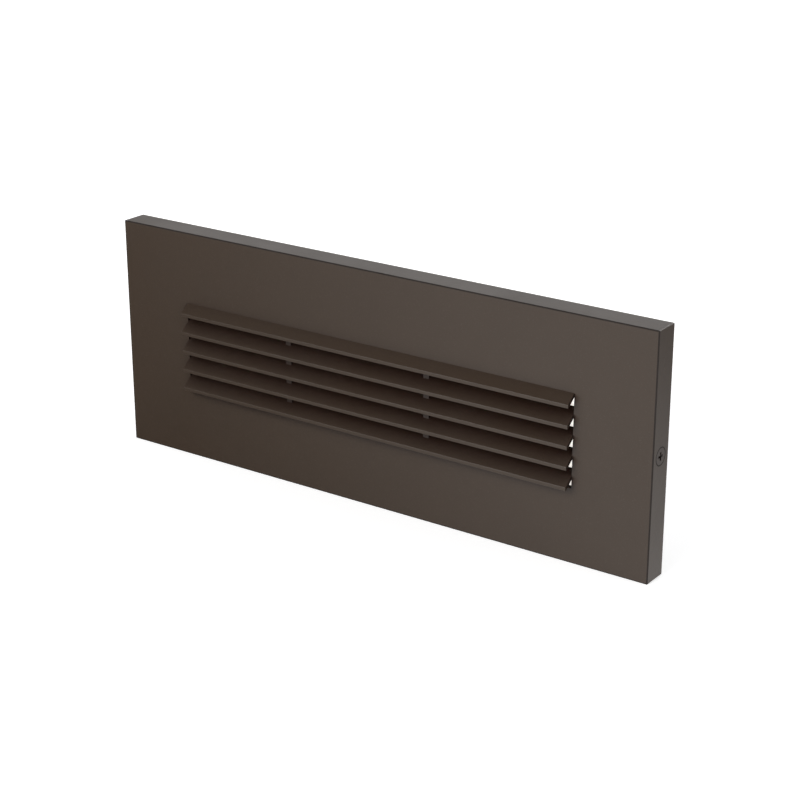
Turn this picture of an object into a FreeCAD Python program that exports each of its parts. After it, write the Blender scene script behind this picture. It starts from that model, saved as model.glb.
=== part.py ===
import FreeCAD, Part
import math
import os

os.makedirs("parts", exist_ok=True)
Vector = FreeCAD.Vector

# Frame, in millimetres: X to the right along the plate, Z up, Y into the wall.
# The origin is the middle of the wall face that the plate's rear rim rests on.

# ---------------------------------------------------------------- driving dimensions
plate_width = 254.0
plate_height = 99.0
plate_depth = 11.2
plate_wall = 2.6
edge_rounding = 0.35
hollow_corner = 1.5

aperture_width = 187.0
aperture_height = 38.0
slat_count = 5
slat_reach = 4.35
slat_drop = 3.4
slat_lip_height = 1.72
slat_tip_rounding = 0.25
web_width = 2.6
web_centres = (-40.0, 27.7)

end_screw_depth = 5.6
end_screw_head_radius = 3.45
end_screw_radius = 1.75
end_screw_length = 9.5
end_screw_land = 0.25
end_screw_point = 0.6
end_recess_width = 3.9
end_recess_wing = 0.95
end_recess_depth = 1.9
countersink_half_angle = 41.0
thread_pitch = 0.79375
thread_depth = 0.38
nut_thickness = 2.4
nut_width = 5.4
nut_height = 9.0
nut_corner = 0.6

lens_thickness = 3.0
lens_overlap_x = 5.0
lens_overlap_z = 4.0
lens_corner = 1.5
lens_chamfer = 0.4
lens_gasket_thickness = 1.0
lens_gasket_ledge = 1.5
lens_lip_width = 1.4
lens_lip_height = 2.5
clip_thickness = 0.8
clip_width = 8.0
clip_bite = 3.0
clip_spacing = 150.0
clip_boss_radius = 3.0
clip_boss_gap = 1.2
clip_screw_radius = 1.4
clip_screw_length = 3.6
clip_screw_head = (2.6, 1.3)

frame_thickness = 1.6
frame_corner = 2.0
window_corner = 4.0
gasket_thickness = 1.0
ear_thickness = 1.5
ear_half_height = 8.0
ear_front_reach = 2.6
ear_relief = 1.5
frame_screw_radius = 2.0
frame_screw_length = 8.6
frame_screw_head = (3.6, 2.0)

flange_inset_x = 6.4
flange_inset_z = 2.9
flange_thickness = 2.0
flange_corner = 4.0
frame_screw_inset = 5.0
fixing_inset = 3.7
fixing_hole_radius = 2.5
fixing_spacing_x = 120.0

box_inset_x = 21.0
box_inset_z = 15.5
box_depth = 55.0
box_wall = 2.2
box_draft = 1.2
box_corner = 7.0
box_rear_rounding = 2.0
flange_root = 2.0
hub_root = 1.2
frame_boss_radius = 3.7
frame_boss_depth = 8.0
tray_boss_radius = 3.2
tray_boss_depth = 6.0
entry_radius = 10.4
entry_hub_radius = 13.5
entry_hub_length = 6.0
rear_entry_inset = 25.0
side_entry_depth = 28.0
plug_length = 7.0
plug_head_radius = 12.2
plug_head_thickness = 2.4
plug_edge = 0.6
plug_socket_radius = 5.5
plug_socket_depth = 3.5

tray_depth = 15.0
tray_sheet = 1.0
tray_corner = 5.0
tray_rim_margin_x = 7.5
tray_rim_margin_z = 5.5
tray_floor_inset = 11.0
tray_floor_height = 28.0
tray_screw_inset_x = 4.5
tray_screw_inset_z = 3.5
tray_screw_radius = 1.5
tray_screw_length = 5.4
tray_screw_head = (2.7, 1.3)
collar_radius = 2.4
collar_height = 1.8

board_inset = 16.0
board_height = 20.0
board_thickness = 1.6
board_corner = 1.5
pad_thickness = 0.5
led_count = 12
led_end_margin = 9.5
led_size = (3.5, 0.7, 2.8)
board_screw_radius = 1.25
board_screw_length = 4.6
board_screw_head = (2.3, 1.2)
board_screw_inset_x = 4.0
board_screw_inset_z = 3.0
grommet_inset = 8.0
grommet_bore = 4.2
grommet_lip = 7.0
grommet_hole = 5.6
grommet_height = 1.2
grommet_edge = 0.6

driver_to_grommet = 13.0
driver_to_entry = 55.0
driver_height = 30.0
driver_depth = 20.0
driver_corner = 2.0
driver_base_reach = 9.0
driver_base_height = 24.0
driver_base_thickness = 1.2
driver_foot_inset = 4.0
driver_panel_margin = 4.5
driver_panel_depth = 0.5
driver_screw_length = 4.4
output_rise = 11.0
input_rise = 13.0
foot_boss_radius = 4.0
foot_boss_height = 3.0
small_screw_radius = 1.5
small_screw_head = (2.6, 1.3)

terminal_to_driver = 25.0
terminal_width = 16.0
terminal_end_gap = 6.1
terminal_depth = 13.0
terminal_foot = 2.5
terminal_foot_length = 6.2
terminal_screw_inset = 3.0
terminal_screw_length = 3.9
pole_to_end = 9.0
pole_screw_radius = 1.6
pole_screw_length = 2.2
pole_screw_offset = 3.2
pole_screw_sink = 0.8
pole_slot = (0.6, 0.7)
wire_depth = 7.0
wire_bite = 3.0
wire_funnel = 0.35

ground_to_entry = 7.0
ground_inset = 4.8
ground_boss_radius = 3.9
ground_screw_radius = 2.0
ground_screw_length = 5.2
ground_screw_head = (3.3, 1.8)
lug_thickness = 0.8
lug_ring_radius = 3.6
lug_tongue_width = 3.0
lug_tongue_length = 8.2
lug_barrel_start = 5.0
lug_barrel_length = 5.0
lug_barrel_radius = 1.5
lug_barrel_offset = 0.75

lead_diameter = 1.8
lead_socket_depth = 1.5
led_lead_spacing = 3.4
led_lead_landing = 6.0
supply_straight = 7.0

# named clearances
slip = 0.1
running = 0.05
hole_clearance = 0.2
screw_clearance = 0.35
frame_clearance = 0.7
seat_gap = 0.4
gasket_gap = 0.6
slat_foot_gap = 0.08
window_gap_x = 1.5
window_gap_z = 2.5
tray_gap = 0.8
overcut = 1.0

# ---------------------------------------------------------------- derived planes and sizes
half_width = plate_width / 2
half_height = plate_height / 2
hollow_half_width = half_width - plate_wall
hollow_half_height = half_height - plate_wall
slat_span = aperture_height - slat_drop - slat_lip_height - slat_foot_gap
slat_pitch = slat_span / (slat_count - 1)
front_face = -plate_depth
wall_back = front_face + plate_wall
lens_front = wall_back + lens_gasket_thickness
lens_back = lens_front + lens_thickness
clip_back = lens_back + clip_thickness
lens_half_width = aperture_width / 2 + lens_overlap_x
lens_half_height = aperture_height / 2 + lens_overlap_z
frame_back = -gasket_thickness
frame_front = frame_back - frame_thickness
ear_outer = hollow_half_width - slip
ear_inner = ear_outer - ear_thickness
end_screw_y = front_face + end_screw_depth
countersink_slope = math.tan(math.radians(countersink_half_angle))
cone_length = (end_screw_head_radius - end_screw_radius) / countersink_slope

flange_half_x = hollow_half_width - flange_inset_x
flange_half_z = hollow_half_height - flange_inset_z
box_half = (flange_half_x - box_inset_x, flange_half_z - box_inset_z)
box_rear_half = (box_half[0] - box_draft, box_half[1] - box_draft)
inner_half = (box_half[0] - box_wall, box_half[1] - box_wall)
inner_rear_half = (box_rear_half[0] - box_wall, box_rear_half[1] - box_wall)
box_inner_back = box_depth - box_wall
rear_entry_x = -(box_half[0] - rear_entry_inset)

tray_rim_half = (box_half[0] + tray_rim_margin_x, box_half[1] + tray_rim_margin_z)
tray_floor_half = (box_half[0] - tray_floor_inset, tray_floor_height / 2)
tray_floor_front = tray_depth - tray_sheet
board_half = (tray_floor_half[0] - board_inset, board_height / 2)
board_back = tray_floor_front - pad_thickness
board_front = board_back - board_thickness
grommet_x = tray_floor_half[0] - grommet_inset

driver_right = grommet_x - driver_to_grommet
driver_left = rear_entry_x + driver_to_entry
driver_half = (driver_right - driver_left) / 2
driver_centre_x = (driver_right + driver_left) / 2
driver_back = box_inner_back - foot_boss_height
terminal_centre_x = driver_left - terminal_to_driver
terminal_length = 2 * (inner_rear_half[1] - terminal_end_gap)
pole_spacing = terminal_length / 2 - pole_to_end
ground_x = rear_entry_x + ground_to_entry
ground_z = -(inner_rear_half[1] - ground_inset)

lead_radius = lead_diameter / 2
lead_socket = lead_radius + running
wire_y = box_inner_back - wire_depth
lug_front = wire_y + lug_barrel_offset
ground_boss_top = lug_front + lug_thickness


# ---------------------------------------------------------------- shared shapes
def block(x_low, x_high, y_low, y_high, z_low, z_high):
    corner = Vector(x_low, y_low, z_low)
    return Part.makeBox(x_high - x_low, y_high - y_low, z_high - z_low, corner)


def edges_along(shape, axis):
    return [edge for edge in shape.Edges if abs(getattr(edge.tangentAt(edge.FirstParameter), axis)) > 0.99]


def slab(half, y_low, y_high, corner_radius=0.0):
    """A plate facing front and back, centred on the Y axis, with rounded corners."""
    body = block(-half[0], half[0], y_low, y_high, -half[1], half[1])
    if corner_radius:
        body = body.makeFillet(corner_radius, edges_along(body, "y"))
    return body


def grown(half, by_x, by_z):
    return (half[0] + by_x, half[1] + by_z)


def rod(point, direction, radius, length):
    return Part.makeCylinder(radius, length, Vector(*point), Vector(*direction))


def tapered(front_half, back_half, y_low, y_high, front_radius, back_radius):
    """A tapered block between two rounded rectangles, as draft or a formed pan gives."""
    outlines = []
    for half, y, radius in ((front_half, y_low, front_radius), (back_half, y_high, back_radius)):
        body = slab(half, y, y + 1.0, radius)
        face = [f for f in body.Faces if abs(f.CenterOfMass.y - y) < 1e-6][0]
        outlines.append(face.OuterWire)
    return Part.makeLoft(outlines, True, True)


def revolved(points, axis_point, axis):
    outline = Part.makePolygon([Vector(*p) for p in points + points[:1]])
    return Part.Face(outline).revolve(Vector(*axis_point), Vector(*axis), 360)


def corners_of(half_x, half_z):
    return [(sx * half_x, sz * half_z) for sx in (-1, 1) for sz in (-1, 1)]


def drilled(shape, points, radius, y_low, y_high):
    """Cuts one round hole along Y at each point."""
    holes = [rod((x, y_low, z), (0, 1, 0), radius, y_high - y_low) for x, z in points]
    return shape.cut(holes)


def cross_recess(width, wing, depth):
    """A cross recess that opens at y = 0 and narrows towards its bottom at +y."""
    arms = block(-width / 2, width / 2, -overcut, depth, -wing / 2, wing / 2)
    arms = arms.fuse(block(-wing / 2, wing / 2, -overcut, depth, -width / 2, width / 2))
    mouth = width * 0.57
    cone = Part.makeCone(mouth, width / 6, depth + overcut, Vector(0, -overcut, 0), Vector(0, 1, 0))
    return arms.common(cone)


def pan_screw(head, shank_radius, length):
    """A pan head screw along +Y, the underside of its head at y = 0."""
    head_radius, head_height = head
    shoulder = head_radius * 0.62
    bulge = Vector(head_radius * 0.9, -head_height * 0.76, 0)
    crown = Part.Arc(Vector(shoulder, -head_height, 0), bulge, Vector(head_radius, -head_height * 0.3, 0))
    corners = [
        (head_radius, -head_height * 0.3, 0),
        (head_radius, 0, 0),
        (shank_radius, 0, 0),
        (shank_radius, length - shank_radius * 0.5, 0),
        (shank_radius * 0.6, length, 0),
        (0, length, 0),
        (0, -head_height, 0),
        (shoulder, -head_height, 0),
    ]
    outline = Part.makePolygon([Vector(*c) for c in corners])
    profile = Part.Face(Part.Wire([crown.toShape()] + outline.Edges))
    body = profile.revolve(Vector(0, 0, 0), Vector(0, 1, 0), 360)
    recess = cross_recess(head_radius * 1.1, head_radius * 0.26, head_height * 0.75)
    recess.translate(Vector(0, -head_height, 0))
    return body.cut(recess)


def placed(shape, x, y, z):
    copy = shape.copy()
    copy.translate(Vector(x, y, z))
    return copy


def save(name, shapes):
    shape = shapes if not isinstance(shapes, list) else Part.makeCompound(shapes)
    shape.exportStep("parts/" + name + ".step")
    print(name, len(shape.Solids), "solid(s)", round(shape.Volume), "mm3")


# ---------------------------------------------------------------- faceplate
# One die casting: a shallow shell with the louvre, lens seat and clip bosses.
def louvre_slat(root_height):
    """Slopes down and outward from the wall's back to a blunt tip ahead of the face."""
    rise = plate_wall * slat_drop / slat_reach
    tip = front_face - slat_reach
    section = [
        (0, wall_back, root_height + rise),
        (0, tip, root_height - slat_drop),
        (0, tip, root_height - slat_drop - slat_lip_height),
        (0, wall_back, root_height + rise - slat_lip_height),
    ]
    outline = Part.makePolygon([Vector(*p) for p in section + section[:1]])
    slat = Part.Face(outline).extrude(Vector(aperture_width, 0, 0))
    slat.translate(Vector(-aperture_width / 2, 0, 0))
    tip_edges = [edge for edge in edges_along(slat, "x") if abs(edge.CenterOfMass.y - tip) < 1e-6]
    return slat.makeFillet(slat_tip_rounding, tip_edges)


def outer_edges(shell):
    """The front rim and the four corners, which the casting leaves slightly rounded."""
    found = []
    for edge in shell.Edges:
        middle = edge.CenterOfMass
        at_front = abs(middle.y - front_face) < 1e-6
        at_corner = abs(abs(middle.x) - half_width) < 1e-6 and abs(abs(middle.z) - half_height) < 1e-6
        if at_front or at_corner:
            found.append(edge)
    return found


def countersink(side):
    """The seat of an end screw's head, with running clearance all round."""
    hole = end_screw_radius + running
    mouth = end_screw_head_radius + running
    outside = half_width + overcut
    land_end = half_width - end_screw_land
    cone_end = land_end - cone_length
    inside = hollow_half_width - overcut
    profile = [(outside, 0), (outside, mouth), (land_end, mouth)]
    profile += [(cone_end, hole), (inside, hole), (inside, 0)]
    points = [(side * x, end_screw_y + radius, 0) for x, radius in profile]
    return revolved(points, (0, end_screw_y, 0), (1, 0, 0))


aperture_half = (aperture_width / 2, aperture_height / 2)
hollow_half = (hollow_half_width, hollow_half_height)
faceplate = slab((half_width, half_height), front_face, 0)
faceplate = faceplate.makeFillet(edge_rounding, outer_edges(faceplate))
faceplate = faceplate.cut(slab(hollow_half, wall_back, overcut, hollow_corner))
faceplate = faceplate.cut(slab(aperture_half, front_face - overcut, wall_back + overcut))

louvre = [louvre_slat(aperture_half[1] - index * slat_pitch) for index in range(slat_count)]
for centre in web_centres:
    left, right = centre - web_width / 2, centre + web_width / 2
    louvre.append(block(left, right, front_face, wall_back, -aperture_half[1], aperture_half[1]))

lens_half = (lens_half_width, lens_half_height)
seat_inner = grown(lens_half, seat_gap, seat_gap)
seat_outer = grown(seat_inner, lens_lip_width, lens_lip_width)
lip_root = wall_back - plate_wall / 4
lens_lip = slab(seat_outer, lip_root, wall_back + lens_lip_height, lens_corner + lens_lip_width)
lens_lip = lens_lip.cut(slab(seat_inner, lip_root - overcut, lens_back, lens_corner))

clip_z = seat_outer[1] + clip_boss_radius + clip_boss_gap
clip_points = corners_of(clip_spacing / 2, clip_z)
boss_length = lens_back - lip_root
bosses = [rod((x, lip_root, z), (0, 1, 0), clip_boss_radius, boss_length) for x, z in clip_points]
faceplate = faceplate.multiFuse(louvre + [lens_lip] + bosses)
clip_hole_end = clip_back - clip_screw_length - slip
faceplate = drilled(faceplate, clip_points, clip_screw_radius + running, clip_hole_end, 0)
for side in (-1, 1):
    faceplate = faceplate.cut(countersink(side))
save("faceplate", faceplate.removeSplitter())


# ---------------------------------------------------------------- end screws and clamp nuts
# Flat-head machine screws that sit flush in the plate's ends. The nuts draw the
# frame's ears against the end walls, and loosen without leaving the screws.
def end_screw(side):
    cone_end = end_screw_land + cone_length
    root_radius = end_screw_radius - thread_depth
    profile = [(0.0, 0.0), (0.0, end_screw_head_radius), (end_screw_land, end_screw_head_radius)]
    profile.append((cone_end, end_screw_radius))
    thread_start = cone_end + thread_pitch
    turns = int((end_screw_length - end_screw_point - thread_start) / thread_pitch)
    for turn in range(turns):
        crest = thread_start + turn * thread_pitch
        profile.append((crest, end_screw_radius))
        profile.append((crest + thread_pitch / 2, root_radius))
    profile.append((thread_start + turns * thread_pitch, end_screw_radius))
    profile.append((end_screw_length, end_screw_radius * 0.65))
    profile.append((end_screw_length, 0.0))
    points = [(side * (half_width - inward), end_screw_y + radius, 0) for inward, radius in profile]
    body = revolved(points, (0, end_screw_y, 0), (1, 0, 0))
    recess = cross_recess(end_recess_width, end_recess_wing, end_recess_depth)
    recess.rotate(Vector(0, 0, 0), Vector(0, 0, 1), 90 * side)
    recess.translate(Vector(side * half_width, end_screw_y, 0))
    return body.cut(recess)


def clamp_nut(side):
    outer = ear_inner - slip
    inner = outer - nut_thickness
    low, high = sorted((side * inner, side * outer))
    front = end_screw_y - nut_width / 2
    body = block(low, high, front, front + nut_width, -nut_height / 2, nut_height / 2)
    body = body.makeFillet(nut_corner, edges_along(body, "x"))
    start = (side * (inner - overcut), end_screw_y, 0)
    return body.cut(rod(start, (side, 0, 0), end_screw_radius + running, nut_thickness + 2 * overcut))


for side, name in ((-1, "left"), (1, "right")):
    save(name + "_end_screw", end_screw(side))
    save(name + "_clamp_nut", clamp_nut(side))

# ---------------------------------------------------------------- lens, gasket, clips
# An opal glass plate on a silicone gasket, held by four flat spring clips.
lens = slab(lens_half, lens_front, lens_back, lens_corner)
outline_edges = [edge for edge in lens.Edges if abs(edge.tangentAt(edge.FirstParameter).y) < 0.5]
save("lens", lens.makeChamfer(lens_chamfer, outline_edges))

gasket_half = grown(lens_half, -slip, -slip)
ledge_half = grown(aperture_half, lens_gasket_ledge, lens_gasket_ledge)
lens_gasket = slab(gasket_half, wall_back, lens_front, lens_corner)
save("lens_gasket", lens_gasket.cut(slab(ledge_half, wall_back - overcut, lens_front + overcut, lens_corner)))

clips = []
clip_screws = []
clip_screw = pan_screw(clip_screw_head, clip_screw_radius, clip_screw_length)
clip_screw.rotate(Vector(0, 0, 0), Vector(0, 0, 1), 180)
for x, z in clip_points:
    side = math.copysign(1, z)
    tip = lens_half_height - clip_bite
    z_low, z_high = sorted((side * tip, z + side * clip_boss_radius))
    clip = block(x - clip_width / 2, x + clip_width / 2, lens_back, clip_back, z_low, z_high)
    clip = clip.makeFillet(lens_corner, edges_along(clip, "y"))
    clips.append(drilled(clip, [(x, z)], clip_screw_radius + hole_clearance, lens_front, 0))
    clip_screws.append(placed(clip_screw, x, clip_back, z))
save("lens_clips", clips)
save("clip_screws", clip_screws)

# ---------------------------------------------------------------- mounting frame
# Stamped steel with two bent ears whose open slots take the end screws' shanks.
frame_half = (ear_outer, hollow_half_height - frame_clearance)
window_half = grown(tray_rim_half, window_gap_x, window_gap_z)
mounting_frame = slab(frame_half, frame_front, frame_back, frame_corner)
mounting_frame = mounting_frame.cut(slab(window_half, frame_front - overcut, overcut, window_corner))
slot_half = end_screw_radius + screw_clearance
ear_front = end_screw_y - ear_front_reach
for side in (-1, 1):
    low, high = sorted((side * ear_inner, side * ear_outer))
    ear = block(low, high, ear_front, frame_back, -ear_half_height, ear_half_height)
    corners = [edge for edge in edges_along(ear, "x") if abs(edge.CenterOfMass.y - ear_front) < 1e-6]
    mounting_frame = mounting_frame.fuse(ear.makeFillet(frame_corner, corners))
    x_low, x_high = sorted((side * (ear_inner - ear_relief), side * (ear_outer + overcut)))
    for up in (-1, 1):
        z_low, z_high = sorted((up * ear_half_height, up * (ear_half_height + ear_relief)))
        relief = block(x_low, x_high, frame_front - overcut, overcut, z_low, z_high)
        mounting_frame = mounting_frame.cut(relief)
    slot = block(low - overcut, high + overcut, ear_front - overcut, end_screw_y, -slot_half, slot_half)
    slot_end = rod((low - overcut, end_screw_y, 0), (1, 0, 0), slot_half, ear_thickness + 2 * overcut)
    mounting_frame = mounting_frame.cut([slot, slot_end])
fixing_z = flange_half_z - fixing_inset
frame_screw_points = corners_of(flange_half_x - frame_screw_inset, fixing_z)
fixing_points = corners_of(fixing_spacing_x / 2, fixing_z)
before_frame = frame_front - overcut
frame_hole = frame_screw_radius + hole_clearance
mounting_frame = drilled(mounting_frame, frame_screw_points, frame_hole, before_frame, overcut)
mounting_frame = drilled(mounting_frame, fixing_points, fixing_hole_radius * 2, before_frame, overcut)
save("mounting_frame", mounting_frame.removeSplitter())

frame_screw = pan_screw(frame_screw_head, frame_screw_radius, frame_screw_length)
save("frame_screws", [placed(frame_screw, x, frame_front, z) for x, z in frame_screw_points])

# ---------------------------------------------------------------- gaskets
# Closed-cell strips: one between frame and back box, one between frame and wall.
flange_half = (flange_half_x, flange_half_z)
box_gasket = slab(flange_half, frame_back, 0, flange_corner)
gasket_window = grown(window_half, slip, slip)
box_gasket = box_gasket.cut(slab(gasket_window, frame_front, overcut, window_corner))
box_gasket = drilled(box_gasket, frame_screw_points, frame_hole, frame_front, overcut)
box_gasket = drilled(box_gasket, fixing_points, fixing_hole_radius, frame_front, overcut)
save("box_gasket", box_gasket)

wall_gasket = slab(grown(frame_half, -slip, 0), frame_back, 0, frame_corner)
gasket_inner = grown(flange_half, gasket_gap, gasket_gap)
save("wall_gasket", wall_gasket.cut(slab(gasket_inner, frame_front, overcut, flange_corner)))

# ---------------------------------------------------------------- back box
# A drafted casting set in the wall, with a front flange and conduit entries.
def flat_at(edge, y):
    return abs(edge.BoundBox.YMin - y) < 1e-4 and abs(edge.BoundBox.YMax - y) < 1e-4


def at_flange_root(edge):
    """The edges where the box's walls leave the flange, not the flange's own rim."""
    inside = edge.BoundBox.XLength / 2 + abs(edge.BoundBox.Center.x) < box_half[0] + slip
    return flat_at(edge, flange_thickness) and inside


def at_hub_root(edge):
    """The closed edge round each conduit hub where it leaves the box's wall."""
    box = edge.BoundBox
    round_hub = edge.isClosed() and abs(box.ZLength - 2 * entry_hub_radius) < slip
    return round_hub and box.YMax < box_depth + slip and abs(box.Center.x) < box_half[0] + slip


inner_corner = box_corner - box_wall
outer = tapered(box_half, box_rear_half, 0, box_depth, box_corner, box_corner - box_draft)
inner_rear_corner = inner_corner - box_draft
cavity = tapered(inner_half, inner_rear_half, -slip / 10, box_inner_back, inner_corner, inner_rear_corner)
flange = slab(flange_half, 0, flange_thickness, flange_corner)

tray_screw_points = corners_of(tray_rim_half[0] - tray_screw_inset_x, tray_rim_half[1] - tray_screw_inset_z)
hub_length = box_wall + entry_hub_length
hubs = [rod((rear_entry_x, box_inner_back, 0), (0, 1, 0), entry_hub_radius, hub_length)]
for side in (-1, 1):
    start = (side * inner_half[0], side_entry_depth, 0)
    hubs.append(rod(start, (side, 0, 0), entry_hub_radius, hub_length))
outer = outer.makeFillet(box_rear_rounding, [edge for edge in outer.Edges if flat_at(edge, box_depth)])
outer = outer.fuse(flange)
outer = outer.makeFillet(flange_root, [edge for edge in outer.Edges if at_flange_root(edge)])
outer = outer.multiFuse(hubs)
outer = outer.makeFillet(hub_root, [edge for edge in outer.Edges if at_hub_root(edge)])
additions = [rod((x, 0, z), (0, 1, 0), frame_boss_radius, frame_boss_depth) for x, z in frame_screw_points]
additions += [rod((x, 0, z), (0, 1, 0), tray_boss_radius, tray_boss_depth) for x, z in tray_screw_points]
back_box = outer.multiFuse(additions).cut(cavity)

foot_reach = driver_half + driver_base_reach - driver_foot_inset
driver_feet = [(driver_centre_x - foot_reach, 0), (driver_centre_x + foot_reach, 0)]
rooted = box_wall / 4
foot_bosses = [
    rod((x, driver_back, z), (0, 1, 0), foot_boss_radius, foot_boss_height + rooted) for x, z in driver_feet
]
ground_boss_length = box_inner_back - ground_boss_top + rooted
ground_boss = rod((ground_x, ground_boss_top, ground_z), (0, 1, 0), ground_boss_radius, ground_boss_length)
back_box = back_box.multiFuse(foot_bosses + [ground_boss])

terminal_screw_z = terminal_length / 2 - terminal_screw_inset
terminal_screw_points = [(terminal_centre_x, -terminal_screw_z), (terminal_centre_x, terminal_screw_z)]
frame_hole_end = frame_front + frame_screw_length + slip
tray_hole_end = -tray_sheet + tray_screw_length + slip
foot_front = box_inner_back - terminal_foot
terminal_hole_end = foot_front + terminal_screw_length + slip
driver_hole_end = driver_back - driver_base_thickness + driver_screw_length + slip
ground_hole_end = lug_front + ground_screw_length + slip
small_tapped = small_screw_radius + running
back_box = drilled(back_box, frame_screw_points, frame_screw_radius + running, -overcut, frame_hole_end)
back_box = drilled(back_box, tray_screw_points, tray_screw_radius + running, -overcut, tray_hole_end)
back_box = drilled(back_box, fixing_points, fixing_hole_radius, -overcut, flange_thickness + overcut)
back_box = drilled(back_box, driver_feet, small_tapped, driver_back - overcut, driver_hole_end)
back_box = drilled(back_box, terminal_screw_points, small_tapped, foot_front, terminal_hole_end)
ground_point = [(ground_x, ground_z)]
ground_tapped = ground_screw_radius + running
back_box = drilled(back_box, ground_point, ground_tapped, ground_boss_top - overcut, ground_hole_end)
hub_end = box_depth + entry_hub_length + overcut
back_box = drilled(back_box, [(rear_entry_x, 0)], entry_radius, box_inner_back - overcut, hub_end)
for side in (-1, 1):
    start = (side * (inner_half[0] - 2 * overcut), side_entry_depth, 0)
    back_box = back_box.cut(rod(start, (side, 0, 0), entry_radius, hub_length + 3 * overcut))
save("back_box", back_box.removeSplitter())

# ---------------------------------------------------------------- conduit plugs
# Threaded plugs with a hexagon socket close the two side entries.
plugs = []
for side in (-1, 1):
    face = side * (box_half[0] + entry_hub_length)
    shank_start = (face - side * plug_length, side_entry_depth, 0)
    shank = rod(shank_start, (side, 0, 0), entry_radius - running, plug_length)
    head = rod((face, side_entry_depth, 0), (side, 0, 0), plug_head_radius, plug_head_thickness)
    mouth = face + side * plug_head_thickness
    rim = [edge for edge in head.Edges if abs(edge.BoundBox.Center.x - mouth) < slip]
    head = head.makeFillet(plug_edge, rim)
    corners = []
    for corner in range(7):
        angle = math.radians(60 * corner)
        y = side_entry_depth + plug_socket_radius * math.cos(angle)
        corners.append(Vector(mouth, y, plug_socket_radius * math.sin(angle)))
    socket = Part.Face(Part.makePolygon(corners)).extrude(Vector(-side * plug_socket_depth, 0, 0))
    plugs.append(shank.fuse(head).cut(socket).removeSplitter())
save("conduit_plugs", plugs)

# ---------------------------------------------------------------- reflector tray
# A white pan in the mouth of the box. Its rim is screwed to the flange.
tray_front_half = grown(inner_half, -tray_gap, -tray_gap)
thin = -tray_sheet
tray = tapered(tray_front_half, tray_floor_half, -tray_sheet, tray_depth, tray_corner, tray_corner)
tray = tray.fuse(slab(tray_rim_half, -tray_sheet, 0, flange_corner))
board_screw_points = corners_of(board_half[0] - board_screw_inset_x, board_half[1] - board_screw_inset_z)
collar_start = tray_depth - tray_sheet / 2
collar_length = collar_height + tray_sheet / 2
collars = [rod((x, collar_start, z), (0, 1, 0), collar_radius, collar_length) for x, z in board_screw_points]
tray = tray.multiFuse(collars)
tray_inner = (grown(tray_front_half, thin, thin), grown(tray_floor_half, thin, thin))
bend_radius = tray_corner - tray_sheet
tray = tray.cut(tapered(*tray_inner, -tray_sheet - slip / 10, tray_floor_front, bend_radius, bend_radius))
past_collars = tray_depth + collar_height + overcut
board_tapped = board_screw_radius + running
tray = drilled(tray, board_screw_points, board_tapped, tray_floor_front - overcut, past_collars)
tray = drilled(tray, tray_screw_points, tray_screw_radius + hole_clearance, -tray_sheet - overcut, overcut)
tray = drilled(tray, [(grommet_x, 0)], grommet_hole, tray_floor_front - overcut, tray_depth + overcut)
save("reflector_tray", tray.removeSplitter())

tray_screw = pan_screw(tray_screw_head, tray_screw_radius, tray_screw_length)
save("tray_screws", [placed(tray_screw, x, -tray_sheet, z) for x, z in tray_screw_points])

# ---------------------------------------------------------------- LED board
# A metal-core board on a thermal pad, with one row of light-emitting packages.
pad = slab(grown(board_half, -slip, -slip), board_back, tray_floor_front, board_corner)
led_board = slab(board_half, board_front, board_back, board_corner)
board_hole = board_screw_radius + hole_clearance
save("thermal_pad", drilled(pad, board_screw_points, board_hole, board_front, tray_depth))
save("led_board", drilled(led_board, board_screw_points, board_hole, board_front - overcut, tray_depth))

packages = []
led_length, led_height, led_width = led_size
led_front = board_front - led_height
led_pitch = 2 * (board_half[0] - led_end_margin) / (led_count - 1)
for index in range(led_count):
    x = (index - (led_count - 1) / 2) * led_pitch
    corner = Vector(x - led_length / 2, led_front, -led_width / 2)
    package = Part.makeBox(led_length, led_height, led_width, corner)
    dish_mouth, dish_floor, dish_depth = led_width * 0.4, led_width * 0.3, led_height * 0.4
    dish = Part.makeCone(dish_mouth, dish_floor, dish_depth, Vector(x, led_front, 0), Vector(0, 1, 0))
    packages.append(package.cut(dish))
save("led_packages", packages)

board_screw = pan_screw(board_screw_head, board_screw_radius, board_screw_length)
save("board_screws", [placed(board_screw, x, board_front, z) for x, z in board_screw_points])

# ---------------------------------------------------------------- lead grommet
# A rubber ring in the tray's floor with a groove that grips the sheet.
groove = grommet_hole - running
front_lip = tray_floor_front - grommet_height
back_lip = tray_depth + grommet_height
profile = [
    (grommet_bore, front_lip),
    (grommet_lip - grommet_edge, front_lip),
    (grommet_lip, front_lip + grommet_edge),
    (grommet_lip, tray_floor_front),
    (groove, tray_floor_front),
    (groove, tray_depth),
    (grommet_lip, tray_depth),
    (grommet_lip, back_lip - grommet_edge),
    (grommet_lip - grommet_edge, back_lip),
    (grommet_bore, back_lip),
]
points = [(grommet_x + radius, y, 0) for radius, y in profile]
save("lead_grommet", revolved(points, (grommet_x, 0, 0), (0, 1, 0)))

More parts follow.
